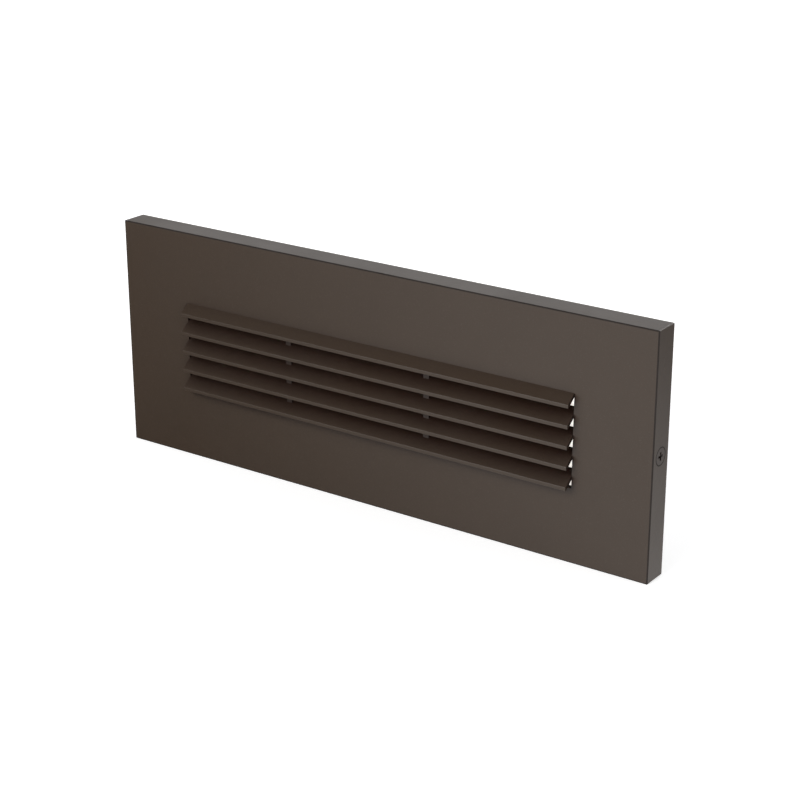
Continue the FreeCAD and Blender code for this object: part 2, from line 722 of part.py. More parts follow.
# ---------------------------------------------------------------- driver
# A potted power supply on two feet, its leads leaving through both ends.
base_front = driver_back - driver_base_thickness
driver_front = base_front - driver_depth
body_half = (driver_half, driver_height / 2)
base_half = (driver_half + driver_base_reach, driver_base_height / 2)
driver = slab(body_half, driver_front, driver_back - driver_base_thickness / 2, driver_corner)
driver = driver.fuse(slab(base_half, base_front, driver_back, driver_corner))
panel_half = grown(body_half, -driver_panel_margin, -driver_panel_margin)
panel = slab(panel_half, driver_front - overcut, driver_front + driver_panel_depth, driver_corner)
driver = driver.cut(panel)
driver.translate(Vector(driver_centre_x, 0, 0))
small_hole = small_screw_radius + hole_clearance
driver = drilled(driver, driver_feet, small_hole, driver_front, driver_back + overcut)
output_y = driver_back - output_rise
input_y = driver_back - input_rise
output_x = driver_right - lead_socket_depth
input_x = driver_left + lead_socket_depth
led_lead_heights = (led_lead_spacing / 2, -led_lead_spacing / 2)
supply_lead_heights = (pole_spacing, 0)
for z in led_lead_heights:
    driver = driver.cut(rod((output_x - slip, output_y, z), (1, 0, 0), lead_socket, 2 * lead_socket_depth))
for z in supply_lead_heights:
    driver = driver.cut(rod((input_x + slip, input_y, z), (-1, 0, 0), lead_socket, 2 * lead_socket_depth))
save("driver", driver.removeSplitter())

driver_screw = pan_screw(small_screw_head, small_screw_radius, driver_screw_length)
save("driver_screws", [placed(driver_screw, x, base_front, z) for x, z in driver_feet])

# ---------------------------------------------------------------- terminal block
# Three poles on the box's back wall, each with a wire entry and a clamping screw.
terminal_front = box_inner_back - terminal_depth
left_side = terminal_centre_x - terminal_width / 2
right_side = terminal_centre_x + terminal_width / 2
body_z = terminal_length / 2 - terminal_foot_length
foot_z = terminal_length / 2
terminal = block(left_side, right_side, terminal_front, box_inner_back, -body_z, body_z)
terminal = terminal.fuse(block(left_side, right_side, foot_front, box_inner_back, -foot_z, foot_z))
pole_screws = []
slot_width, slot_depth = pole_slot
for z in (-pole_spacing, 0, pole_spacing):
    for side, face in ((-1, left_side), (1, right_side)):
        entry_start = (face - side * (wire_bite + slip), wire_y, z)
        entry = rod(entry_start, (side, 0, 0), lead_socket + wire_funnel, wire_bite + overcut)
        terminal = terminal.cut(entry)
    for x in (terminal_centre_x - pole_screw_offset, terminal_centre_x + pole_screw_offset):
        screw_front = terminal_front + pole_screw_sink
        screw_back = screw_front + pole_screw_length
        well = pole_screw_radius + hole_clearance
        terminal = drilled(terminal, [(x, z)], well, terminal_front - overcut, screw_back)
        clamp = rod((x, screw_front, z), (0, 1, 0), pole_screw_radius, pole_screw_length)
        slot_reach = pole_screw_radius + overcut
        slot_low, slot_high = z - slot_width / 2, z + slot_width / 2
        cut_to = screw_front + slot_depth
        slot = block(x - slot_reach, x + slot_reach, terminal_front, cut_to, slot_low, slot_high)
        pole_screws.append(clamp.cut(slot))
terminal = drilled(terminal, terminal_screw_points, small_hole, terminal_front, box_depth)
save("terminal_block", terminal)
save("terminal_clamp_screws", pole_screws)
terminal_screw = pan_screw(small_screw_head, small_screw_radius, terminal_screw_length)
save("terminal_screws", [placed(terminal_screw, x, foot_front, z) for x, z in terminal_screw_points])

# ---------------------------------------------------------------- ground lug and screw
# A crimped ring terminal under a green screw on a boss of the back box.
half_tongue = lug_tongue_width / 2
tongue = block(0, lug_tongue_length, lug_front, ground_boss_top, -half_tongue, half_tongue)
barrel = rod((lug_barrel_start, wire_y, 0), (1, 0, 0), lug_barrel_radius, lug_barrel_length)
crimp_start = lug_barrel_start + slip * 8
crimp = rod((crimp_start, wire_y, 0), (1, 0, 0), lead_socket, lug_barrel_length + overcut)
lug_arm = tongue.fuse(barrel).cut(crimp)
lug_arm.rotate(Vector(0, 0, 0), Vector(0, 1, 0), -45)
lug_arm.translate(Vector(ground_x, 0, ground_z))
ring = rod((ground_x, lug_front, ground_z), (0, 1, 0), lug_ring_radius, lug_thickness)
ground_lug = ring.fuse(lug_arm)
lug_hole = ground_screw_radius + hole_clearance
ground_lug = drilled(ground_lug, ground_point, lug_hole, terminal_front, box_depth)
save("ground_lug", ground_lug.removeSplitter())
ground_screw = pan_screw(ground_screw_head, ground_screw_radius, ground_screw_length)
save("ground_screw", placed(ground_screw, ground_x, lug_front, ground_z))


# ---------------------------------------------------------------- leads
# Insulated wires: straight runs joined by tangent arcs.
def lead(name, corners):
    corners = [Vector(*c) for c in corners]
    pieces = []
    start = corners[0]
    length = 0.0
    for index in range(1, len(corners) - 1):
        before = corners[index] - corners[index - 1]
        after = corners[index + 1] - corners[index]
        turn = before.getAngle(after)
        shorter = min(before.Length, after.Length)
        radius = 0.45 * shorter / math.tan(turn / 2)
        setback = radius * math.tan(turn / 2)
        before.normalize()
        after.normalize()
        into = corners[index] - before * setback
        out = corners[index] + after * setback
        toward = (after - before).normalize()
        centre = corners[index] + toward * (radius / math.cos(turn / 2))
        middle = centre - toward * radius
        pieces.append(Part.makeLine(start, into))
        pieces.append(Part.Arc(into, middle, out).toShape())
        length += (into - start).Length + radius * turn
        print(name, "bend radius", round(radius, 2))
        start = out
    pieces.append(Part.makeLine(start, corners[-1]))
    length += (corners[-1] - start).Length
    section = Part.Wire(Part.makeCircle(lead_radius, corners[0], corners[1] - corners[0]))
    solid = Part.Wire(pieces).makePipeShell([section], True, False, 2)
    expected = math.pi * lead_radius**2 * length
    print(name, "length", round(length, 1), "volume", round(solid.Volume, 1), "of", round(expected, 1))
    save(name, solid)


landing_x = board_half[0] - led_lead_landing
landing_y = board_front - lead_radius
for name, z in zip(("led_lead_plus", "led_lead_minus"), led_lead_heights):
    lead(
        name,
        [
            (output_x, output_y, z),
            (grommet_x, output_y, z),
            (grommet_x, landing_y, z),
            (landing_x, landing_y, z),
        ],
    )

bend_start = input_x - supply_straight
bend_end = bend_start - (wire_y - input_y)
pole_x = right_side - wire_bite
for name, z in zip(("supply_lead_line", "supply_lead_neutral"), supply_lead_heights):
    lead(name, [(input_x, input_y, z), (bend_start, input_y, z), (bend_end, wire_y, z), (pole_x, wire_y, z)])

# the ground lead turns 45 degrees into the lug's barrel
diagonal = (lug_barrel_start + lug_barrel_length / 4) * math.sqrt(0.5)
ground_end = Vector(ground_x + diagonal, wire_y, ground_z + diagonal)
turn_x = ground_end.x - pole_spacing - ground_end.z
ground_start = (left_side + wire_bite, wire_y, -pole_spacing)
lead("ground_lead", [ground_start, (turn_x, wire_y, -pole_spacing), tuple(ground_end)])
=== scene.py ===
import bpy
import math
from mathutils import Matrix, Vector


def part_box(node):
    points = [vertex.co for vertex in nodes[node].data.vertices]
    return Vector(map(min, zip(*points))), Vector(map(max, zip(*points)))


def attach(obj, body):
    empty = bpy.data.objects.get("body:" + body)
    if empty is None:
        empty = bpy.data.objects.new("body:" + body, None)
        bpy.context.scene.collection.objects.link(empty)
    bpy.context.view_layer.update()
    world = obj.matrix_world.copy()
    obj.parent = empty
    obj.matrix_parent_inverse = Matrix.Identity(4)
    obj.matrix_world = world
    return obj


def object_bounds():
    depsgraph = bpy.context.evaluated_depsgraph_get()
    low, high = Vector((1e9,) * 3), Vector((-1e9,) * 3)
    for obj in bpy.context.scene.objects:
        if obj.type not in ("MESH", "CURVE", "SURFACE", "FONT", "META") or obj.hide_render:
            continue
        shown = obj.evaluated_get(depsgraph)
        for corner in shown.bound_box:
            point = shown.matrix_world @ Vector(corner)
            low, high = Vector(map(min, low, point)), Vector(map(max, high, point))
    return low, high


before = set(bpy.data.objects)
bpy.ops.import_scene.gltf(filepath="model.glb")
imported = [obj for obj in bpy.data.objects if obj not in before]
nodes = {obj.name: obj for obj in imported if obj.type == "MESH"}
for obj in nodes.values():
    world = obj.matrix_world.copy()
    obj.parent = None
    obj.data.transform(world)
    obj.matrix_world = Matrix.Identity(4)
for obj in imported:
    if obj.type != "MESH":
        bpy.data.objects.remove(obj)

cad_low, cad_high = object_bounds()

# The CAD pieces arrive selected, and an operator acts on all that is selected.
for carried in bpy.context.selected_objects:
    carried.select_set(False)
bpy.context.view_layer.objects.active = None

# ---------------------------------------------------------------- back box
# A drafted aluminium die casting that is set in the wall. It keeps the dull grey
# skin it left the die with: fine grain, a few pores, and brighter rubbed edges.
back_box_grey = (0.46, 0.47, 0.48)
back_box_dark = (0.395, 0.40, 0.41)
back_box_rubbed = (0.66, 0.67, 0.68)
pore_shade = 0.4
cast_grain_size = 0.0006
cast_ripple_size = 0.006
cast_tone_size = 0.014
pores_per_metre = 420.0
pore_rim = (0.05, 0.16)             # in cells: the pore's floor ends, its rim is level
pore_patch_size = 0.009
pore_patch_onset = (0.55, 0.68)     # noise values at which pores start and are full
wear_turn = (0.98, 0.80)            # cosines at which an edge starts and is full
wear_patch_size = 0.004
casting_edge_width = 0.0008
casting_edge_polish = 0.14
casting_dull, casting_smooth = 0.6, 0.46
casting_relief = 0.00016


def effect_group(name, inputs, outputs):
    """An empty effect with its named inputs, as (type, value), and named outputs."""
    group = bpy.data.node_groups.new(name, "ShaderNodeTree")
    for label, (kind, value) in inputs.items():
        socket = group.interface.new_socket(label, in_out="INPUT", socket_type="NodeSocket" + kind)
        if value is not None:
            socket.default_value = value
    for label in outputs:
        group.interface.new_socket(label, in_out="OUTPUT", socket_type="NodeSocketFloat")
    return group, group.nodes.new("NodeGroupInput"), group.nodes.new("NodeGroupOutput")


def noise(tree, place, size, detail=3.0, roughness=0.55):
    """Noise whose lumps are about size metres across."""
    texture = tree.nodes.new("ShaderNodeTexNoise")
    texture.inputs["Scale"].default_value = 1.0 / size
    texture.inputs["Detail"].default_value = detail
    texture.inputs["Roughness"].default_value = roughness
    tree.links.new(place, texture.inputs["Vector"])
    return texture.outputs["Fac"]


def cells(tree, place, per_metre):
    """A pattern of random cells, with its Distance and Color."""
    texture = tree.nodes.new("ShaderNodeTexVoronoi")
    texture.inputs["Scale"].default_value = per_metre
    tree.links.new(place, texture.inputs["Vector"])
    return texture.outputs


def remap(tree, value, low, high, to_low=0.0, to_high=1.0):
    """Carries low..high of a value over to to_low..to_high, held at both ends."""
    node = tree.nodes.new("ShaderNodeMapRange")
    numbers = {"From Min": low, "From Max": high, "To Min": to_low, "To Max": to_high}
    for label, number in numbers.items():
        node.inputs[label].default_value = number
    tree.links.new(value, node.inputs["Value"])
    return node.outputs["Result"]


def fade(tree, value, start, end):
    """1 up to the start, falling to 0 at the end."""
    return remap(tree, value, start, end, 1.0, 0.0)


def between(tree, mask, low, high):
    """A value that goes from low to high where the mask rises from 0 to 1."""
    return remap(tree, mask, 0.0, 1.0, low, high)


def clouds(tree, place, size, detail=3.0, roughness=0.55, spread=0.2, low=0.0, high=1.0):
    """Soft patches from low to high: noise, cut off at spread to each side of its middle."""
    return remap(tree, noise(tree, place, size, detail, roughness), 0.5 - spread, 0.5 + spread, low, high)


def combine(tree, operation, first, second=0.0):
    """One Math node. Each side is a socket or a plain number."""
    node = tree.nodes.new("ShaderNodeMath")
    node.operation = operation
    for socket, side in zip(node.inputs, (first, second)):
        if isinstance(side, (int, float)):
            socket.default_value = side
        else:
            tree.links.new(side, socket)
    return node.outputs[0]


def weighted_sum(tree, *parts):
    """Adds up values, each given as (value, weight)."""
    shares = [combine(tree, "MULTIPLY", value, weight) for value, weight in parts]
    total = shares[0]
    for share in shares[1:]:
        total = combine(tree, "ADD", total, share)
    return total


def cast_skin_effect():
    """Die-cast surface: fine grain with scattered pores, and slow changes of tone."""
    inputs = {"Place": ("Vector", None)}
    group, given, result = effect_group("cast_skin", inputs, ("Height", "Tone", "Pores"))
    place = given.outputs["Place"]
    grain = noise(group, place, cast_grain_size, detail=4.0, roughness=0.6)
    ripples = noise(group, place, cast_ripple_size, detail=2.0)
    pits = fade(group, cells(group, place, pores_per_metre)["Distance"], *pore_rim)
    patches = remap(group, noise(group, place, pore_patch_size, detail=2.0), *pore_patch_onset)
    pores = combine(group, "MULTIPLY", pits, patches)
    height = weighted_sum(group, (grain, 0.5), (ripples, 0.6), (pores, -0.8))
    tone = clouds(group, place, cast_tone_size, detail=6.0, roughness=0.62, spread=0.25)
    group.links.new(height, result.inputs["Height"])
    group.links.new(tone, result.inputs["Tone"])
    group.links.new(pores, result.inputs["Pores"])
    return group


def worn_edge_effect():
    """Finds convex and concave edges by comparing the face with a rounded copy of it."""
    inputs = {"Place": ("Vector", None), "Width": ("Float", 0.0006), "Breakup": ("Float", 0.5)}
    group, given, result = effect_group("worn_edge", inputs, ("Edge",))
    rounded = group.nodes.new("ShaderNodeBevel")
    rounded.samples = 6
    group.links.new(given.outputs["Width"], rounded.inputs["Radius"])
    flat = group.nodes.new("ShaderNodeNewGeometry")
    agree = group.nodes.new("ShaderNodeVectorMath")
    agree.operation = "DOT_PRODUCT"
    group.links.new(rounded.outputs["Normal"], agree.inputs[0])
    group.links.new(flat.outputs["Normal"], agree.inputs[1])
    turn = remap(group, agree.outputs["Value"], *wear_turn)
    place = given.outputs["Place"]
    patches = clouds(group, place, wear_patch_size, detail=4.0, roughness=0.65, spread=0.15)
    patches = combine(group, "MULTIPLY", patches, given.outputs["Breakup"])
    kept = combine(group, "SUBTRACT", 1.0, patches)
    group.links.new(combine(group, "MULTIPLY", turn, kept), result.inputs["Edge"])
    return group


def new_finish(name, colour, roughness, metallic=0.0):
    """A material with its shader set and its Object coordinates ready."""
    material = bpy.data.materials.new(name)
    material.use_nodes = True
    tree = material.node_tree
    shader = tree.nodes["Principled BSDF"]
    shader.inputs["Base Color"].default_value = (*colour, 1.0)
    shader.inputs["Roughness"].default_value = roughness
    shader.inputs["Metallic"].default_value = metallic
    place = tree.nodes.new("ShaderNodeTexCoord").outputs["Object"]
    return material, tree, shader, place


def placed_effect(tree, group, place, **values):
    """Puts an effect in a material with the material's own values, and gives its outputs."""
    node = tree.nodes.new("ShaderNodeGroup")
    node.node_tree = group
    tree.links.new(place, node.inputs["Place"])
    for label, value in values.items():
        node.inputs[label].default_value = value
    return node.outputs


def blended(tree, mask, under, over):
    """A colour that goes from under to over where the mask rises from 0 to 1."""
    node = tree.nodes.new("ShaderNodeMix")
    node.data_type = "RGBA"
    for label, colour in (("A", under), ("B", over)):
        socket = [s for s in node.inputs if s.name == label and s.type == "RGBA"][0]
        if isinstance(colour, tuple):
            socket.default_value = (*colour, 1.0)
        else:
            tree.links.new(colour, socket)
    tree.links.new(mask, node.inputs["Factor"])
    return [s for s in node.outputs if s.type == "RGBA"][0]


def relief(tree, shader, height, distance, strength):
    """Raises the surface by the height, distance metres for 1."""
    bump = tree.nodes.new("ShaderNodeBump")
    bump.inputs["Distance"].default_value = distance
    bump.inputs["Strength"].default_value = strength
    tree.links.new(height, bump.inputs["Height"])
    tree.links.new(bump.outputs["Normal"], shader.inputs["Normal"])


def dress(material, *names):
    """Gives the named CAD pieces this material and no other."""
    for name in names:
        slots = nodes[name].data.materials
        slots.clear()
        slots.append(material)


cast_skin = cast_skin_effect()
worn_edge = worn_edge_effect()


def bare_casting(name, colour, dark, rubbed):
    """Die-cast metal left as it came from the die."""
    material, tree, shader, place = new_finish(name, colour, roughness=0.48, metallic=0.75)
    skin = placed_effect(tree, cast_skin, place)
    edge = placed_effect(tree, worn_edge, place, Width=casting_edge_width, Breakup=0.6)
    toned = blended(tree, skin["Tone"], dark, colour)
    pore_colour = tuple(pore_shade * channel for channel in dark)
    pitted = blended(tree, skin["Pores"], toned, pore_colour)
    tree.links.new(blended(tree, edge["Edge"], pitted, rubbed), shader.inputs["Base Color"])
    rough = between(tree, skin["Tone"], casting_dull, casting_smooth)
    rough = weighted_sum(tree, (rough, 1.0), (edge["Edge"], -casting_edge_polish))
    tree.links.new(rough, shader.inputs["Roughness"])
    relief(tree, shader, skin["Height"], casting_relief, strength=0.7)
    return material


box_casting = bare_casting("box_casting", back_box_grey, back_box_dark, back_box_rubbed)
dress(box_casting, "back_box")

# ---------------------------------------------------------------- rear conduit thread
# The rear entry is tapped for a conduit fitting. The ridge is one helix inside the
# hub's bore, cut into the same casting as the box.
entry_x = -0.072
entry_back = 0.0600
entry_radius = 0.01042
thread_pitch = 0.00181
thread_turns = 3.5
thread_height = 0.00045
thread_half_base = 0.42 * thread_pitch
steps_per_turn = 48
weld_distance = 0.000002


def completed(name, *modifiers):
    """Names the active object, applies its modifiers and puts its place in its mesh."""
    piece = bpy.context.active_object
    piece.name = name
    piece.data.name = name
    for modifier in modifiers:
        bpy.ops.object.modifier_apply(modifier=modifier)
    bpy.ops.object.transform_apply(location=True, rotation=True, scale=True)
    return piece


def outward(piece):
    """Merges doubles and turns every face of the active piece outwards."""
    bpy.ops.object.mode_set(mode="EDIT")
    bpy.ops.mesh.select_all(action="SELECT")
    bpy.ops.mesh.remove_doubles(threshold=weld_distance)
    bpy.ops.mesh.normals_make_consistent(inside=False)
    bpy.ops.mesh.select_all(action="DESELECT")
    bpy.ops.object.mode_set(mode="OBJECT")
    piece.select_set(False)


def conduit_thread():
    """A triangle on the bore's wall with its crest inwards, wound along the bore."""
    bpy.ops.mesh.primitive_circle_add(vertices=3, radius=thread_height, fill_type="NGON")
    ridge = bpy.context.active_object
    crest = entry_radius - thread_height
    section = ((entry_radius, -thread_half_base), (entry_radius, thread_half_base), (crest, 0.0))
    for corner, (from_axis, along) in zip(ridge.data.vertices, section):
        corner.co = Vector((from_axis, 0.0, along))
    helix = ridge.modifiers.new("helix", "SCREW")
    helix.axis = "Z"
    helix.angle = 2 * math.pi * thread_turns
    helix.screw_offset = thread_pitch * thread_turns
    helix.steps = helix.render_steps = int(steps_per_turn * thread_turns)
    ridge.rotation_euler = (math.pi / 2, 0.0, 0.0)
    ridge.location = (entry_x, entry_back, 0.0)
    return completed("rear_entry_thread", "helix")


thread = conduit_thread()
outward(thread)
thread.data.materials.append(box_casting)
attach(thread, "housing")

# ---------------------------------------------------------------- conduit plugs
# Die-cast plugs with a hexagon socket, screwed into the two side entries. They
# have the box's cast skin in a darker, plainer grey.
plug_grey = (0.42, 0.42, 0.42)
plug_dark = (0.36, 0.36, 0.365)
plug_rubbed = (0.60, 0.60, 0.61)
dress(bare_casting("plug_casting", plug_grey, plug_dark, plug_rubbed), "conduit_plugs")

# ---------------------------------------------------------------- screws, nuts and clips
# Steel screws and clamp nuts with a pale zinc plate. The lens clips are stamped
# from plain spring steel, darker than the zinc.
zinc_bright = (0.62, 0.61, 0.58)
zinc_dull = (0.44, 0.43, 0.41)
zinc_rubbed = (0.75, 0.74, 0.72)
spring_bright = (0.50, 0.50, 0.50)
spring_dull = (0.34, 0.34, 0.345)
plating_peel_size = 0.0009
plating_tone_size = 0.003
scratch_size = 0.00035
scratch_stretch = (1.0, 1.0, 0.06)
scratch_slant = (0.3, 0.7, 0.2)
scratch_onset = (0.56, 0.66)        # noise values at which a scratch starts and is full
scratch_roughness = 0.1
plating_edge_width = 0.0003
plating_dullness = 0.12
plating_relief = 0.00004


def plated_skin_effect():
    """Electroplate: a faint orange-peel relief, cloudy tone and short scratches."""
    inputs = {"Place": ("Vector", None)}
    group, given, result = effect_group("plated_skin", inputs, ("Height", "Tone", "Scratches"))
    place = given.outputs["Place"]
    stretch = group.nodes.new("ShaderNodeMapping")
    stretch.inputs["Scale"].default_value = scratch_stretch
    stretch.inputs["Rotation"].default_value = scratch_slant
    group.links.new(place, stretch.inputs["Vector"])
    streaks = noise(group, stretch.outputs["Vector"], scratch_size, detail=2.0)
    tone = clouds(group, place, plating_tone_size, detail=4.0, spread=0.15)
    group.links.new(noise(group, place, plating_peel_size, detail=2.0), result.inputs["Height"])
    group.links.new(tone, result.inputs["Tone"])
    group.links.new(remap(group, streaks, *scratch_onset), result.inputs["Scratches"])
    return group


plated_skin = plated_skin_effect()


def plated(name, bright, dull, rubbed, roughness, metallic=0.9):
    """Plated or polished metal, clouded and lightly scratched, with rubbed edges."""
    material, tree, shader, place = new_finish(name, bright, roughness, metallic)
    skin = placed_effect(tree, plated_skin, place)
    edge = placed_effect(tree, worn_edge, place, Width=plating_edge_width, Breakup=0.4)
    toned = blended(tree, skin["Tone"], dull, bright)
    tree.links.new(blended(tree, edge["Edge"], toned, rubbed), shader.inputs["Base Color"])
    rough = between(tree, skin["Tone"], roughness + plating_dullness, roughness)
    rough = weighted_sum(tree, (rough, 1.0), (skin["Scratches"], scratch_roughness))
    tree.links.new(rough, shader.inputs["Roughness"])
    relief(tree, shader, skin["Height"], plating_relief, strength=0.5)
    return material


dress(
    plated("zinc_plate", zinc_bright, zinc_dull, zinc_rubbed, roughness=0.3),
    "left_clamp_nut", "right_clamp_nut", "clip_screws", "frame_screws",
    "tray_screws", "board_screws", "driver_screws", "terminal_screws",
)
dress(plated("spring_steel", spring_bright, spring_dull, zinc_rubbed, roughness=0.34), "lens_clips")

# ---------------------------------------------------------------- ground lug and screw
# A tinned copper ring terminal, crimped on the ground lead and held by a screw
# whose zinc plate is dyed green.
tin_bright = (0.68, 0.67, 0.64)
tin_dull = (0.50, 0.49, 0.47)
copper_rubbed = (0.62, 0.36, 0.22)
green_bright = (0.045, 0.26, 0.09)
green_dull = (0.025, 0.16, 0.06)
green_rubbed = (0.30, 0.42, 0.30)
tinned_copper = plated("tinned_copper", tin_bright, tin_dull, copper_rubbed, roughness=0.36)
green_plate = plated("green_plate", green_bright, green_dull, green_rubbed, roughness=0.32, metallic=0.7)
dress(tinned_copper, "ground_lug")
dress(green_plate, "ground_screw")

# ---------------------------------------------------------------- terminal block
# Off-white moulded nylon with slotted brass clamping screws sunk in its wells. It
# is screwed to the box.
nylon_clear = (0.82, 0.81, 0.76)
nylon_warm = (0.74, 0.72, 0.64)
nylon_scuffed = (0.88, 0.87, 0.84)
brass_bright = (0.70, 0.52, 0.24)
brass_dull = (0.48, 0.34, 0.15)
brass_rubbed = (0.85, 0.70, 0.40)
mould_grain_size = 0.0004
mould_sink_size = 0.007
mould_flow_size = 0.013
moulding_edge_width = 0.0004
moulding_relief = 0.00008
moulding_dullness = 0.08
scuff_strength = 0.5


def moulded_skin_effect():
    """Moulded plastic or rubber: the mould's fine texture and soft flow marks."""
    inputs = {"Place": ("Vector", None), "Grain": ("Float", 1.0)}
    group, given, result = effect_group("moulded_skin", inputs, ("Height", "Flow"))
    place = given.outputs["Place"]
    grain = noise(group, place, mould_grain_size, roughness=0.6)
    sink = noise(group, place, mould_sink_size, detail=1.0)
    height = weighted_sum(group, (grain, given.outputs["Grain"]), (sink, 0.8))
    group.links.new(height, result.inputs["Height"])
    group.links.new(clouds(group, place, mould_flow_size, spread=0.16), result.inputs["Flow"])
    return group


moulded_skin = moulded_skin_effect()


def moulded(name, clear, flow, scuffed, roughness, grain=1.0, depth=moulding_relief):
    """Moulded plastic, rubber or resin, with soft flow marks and scuffed edges."""
    material, tree, shader, place = new_finish(name, clear, roughness)
    skin = placed_effect(tree, moulded_skin, place, Grain=grain)
    edge = placed_effect(tree, worn_edge, place, Width=moulding_edge_width, Breakup=0.8)
    toned = blended(tree, skin["Flow"], flow, clear)
    scuffs = combine(tree, "MULTIPLY", edge["Edge"], scuff_strength)
    tree.links.new(blended(tree, scuffs, toned, scuffed), shader.inputs["Base Color"])
    rough = between(tree, skin["Flow"], roughness + moulding_dullness, roughness)
    tree.links.new(rough, shader.inputs["Roughness"])
    relief(tree, shader, skin["Height"], depth, strength=0.6)
    return material


dress(moulded("terminal_nylon", nylon_clear, nylon_warm, nylon_scuffed, roughness=0.42), "terminal_block")
clamp_brass = plated("clamp_brass", brass_bright, brass_dull, brass_rubbed, roughness=0.3)
dress(clamp_brass, "terminal_clamp_screws")

# ---------------------------------------------------------------- driver
# The driver's case is black moulded plastic, filled with potting resin through
# the shallow pan in its front. It is screwed to two bosses of the box.
case_black = (0.045, 0.045, 0.048)
case_flow = (0.032, 0.032, 0.034)
case_scuffed = (0.12, 0.12, 0.125)
dress(moulded("driver_case", case_black, case_flow, case_scuffed, roughness=0.5, grain=1.4), "driver")

# ---------------------------------------------------------------- leads
# Silicone-insulated wires, slightly glossy, with faint waves from the extruder.
# Each runs between two terminals and is held at both.
insulation = {
    "led_lead_plus": (0.46, 0.022, 0.022),
    "led_lead_minus": (0.018, 0.018, 0.019),
    "supply_lead_line": (0.022, 0.022, 0.023),
    "supply_lead_neutral": (0.78, 0.78, 0.75),
    "ground_lead": (0.022, 0.26, 0.06),
}
lead_fading = 0.75
lead_rubbing = 1.2
lead_rubbing_lift = 0.02
lead_relief = 0.00004
for lead, colour in insulation.items():
    faded = tuple(lead_fading * channel for channel in colour)
    rubbed = tuple(min(1.0, lead_rubbing * channel + lead_rubbing_lift) for channel in colour)
    name = lead + "_insulation"
    dress(moulded(name, colour, faded, rubbed, roughness=0.36, grain=0.5, depth=lead_relief), lead)

# ---------------------------------------------------------------- reflector tray
# A pan of pressed sheet under white reflector paint, which is a little thinner
# along the edges. Its rim is screwed to the box's flange.
tray_white = (0.86, 0.86, 0.84)
tray_shade = (0.80, 0.80, 0.77)
tray_steel = (0.55, 0.55, 0.54)
peel_size = 0.0016
paint_grain_size = 0.0004
paint_tone_size = 0.05
speck_size = 0.00055
speck_onset = (0.62, 0.72)          # noise values at which a speck starts and is full
tray_edge_width = 0.0004
tray_thin_paint = 0.35
tray_dull, tray_smooth = 0.6, 0.5
tray_relief = 0.00008


def paint_skin_effect():
    """Sprayed or powdered paint: orange peel, fine specks and slow changes of tone."""
    inputs = {"Place": ("Vector", None), "Peel": ("Float", 1.0)}
    group, given, result = effect_group("paint_skin", inputs, ("Height", "Tone", "Specks"))
    place = given.outputs["Place"]
    peel = noise(group, place, peel_size, detail=2.0, roughness=0.45)
    grain = noise(group, place, paint_grain_size, roughness=0.6)
    height = weighted_sum(group, (peel, given.outputs["Peel"]), (grain, 0.35))
    tone = clouds(group, place, paint_tone_size, detail=4.0, roughness=0.6, spread=0.18)
    specks = remap(group, noise(group, place, speck_size, detail=1.0), *speck_onset)
    group.links.new(height, result.inputs["Height"])
    group.links.new(tone, result.inputs["Tone"])
    group.links.new(specks, result.inputs["Specks"])
    return group


paint_skin = paint_skin_effect()
material, tree, shader, place = new_finish("tray_paint", tray_white, roughness=0.55)
skin = placed_effect(tree, paint_skin, place, Peel=0.8)
edge = placed_effect(tree, worn_edge, place, Width=tray_edge_width, Breakup=1.0)
toned = blended(tree, skin["Tone"], tray_shade, tray_white)
thin = combine(tree, "MULTIPLY", edge["Edge"], tray_thin_paint)
tree.links.new(blended(tree, thin, toned, tray_steel), shader.inputs["Base Color"])
tree.links.new(between(tree, skin["Tone"], tray_dull, tray_smooth), shader.inputs["Roughness"])
relief(tree, shader, skin["Height"], tray_relief, strength=0.6)
dress(material, "reflector_tray")

# ---------------------------------------------------------------- LED board and thermal pad
# An aluminium board under white solder mask, screwed down on a soft blue-grey
# thermal pad. The packages on it are filled with yellow phosphor.
mask_white = (0.84, 0.84, 0.82)
mask_shade = (0.76, 0.77, 0.75)
board_edge = (0.60, 0.60, 0.59)
pad_blue = (0.42, 0.47, 0.56)
pad_shade = (0.34, 0.39, 0.48)
pad_scuffed = (0.5, 0.55, 0.62)
phosphor_yellow = (0.92, 0.74, 0.26)
phosphor_deep = (0.86, 0.62, 0.16)
phosphor_pale = (0.95, 0.85, 0.5)
board_relief = 0.00003
solder_mask = moulded(
    "solder_mask", mask_white, mask_shade, board_edge, roughness=0.38, grain=0.4, depth=board_relief)
thermal_pad = moulded("thermal_pad", pad_blue, pad_shade, pad_scuffed, roughness=0.7, grain=1.6)
phosphor = moulded(
    "phosphor", phosphor_yellow, phosphor_deep, phosphor_pale, roughness=0.35, grain=0.6, depth=board_relief)
dress(solder_mask, "led_board")
dress(thermal_pad, "thermal_pad")
dress(phosphor, "led_packages")

# ---------------------------------------------------------------- lead grommet
# Black moulded rubber with a dull bloom, snapped into the hole in the tray where
# the LED leads pass through.
rubber_black = (0.028, 0.028, 0.028)
rubber_bloom = (0.055, 0.055, 0.054)
rubber_scuffed = (0.08, 0.08, 0.08)
rubber = moulded("grommet_rubber", rubber_black, rubber_bloom, rubber_scuffed, roughness=0.62, grain=1.2)
dress(rubber, "lead_grommet")

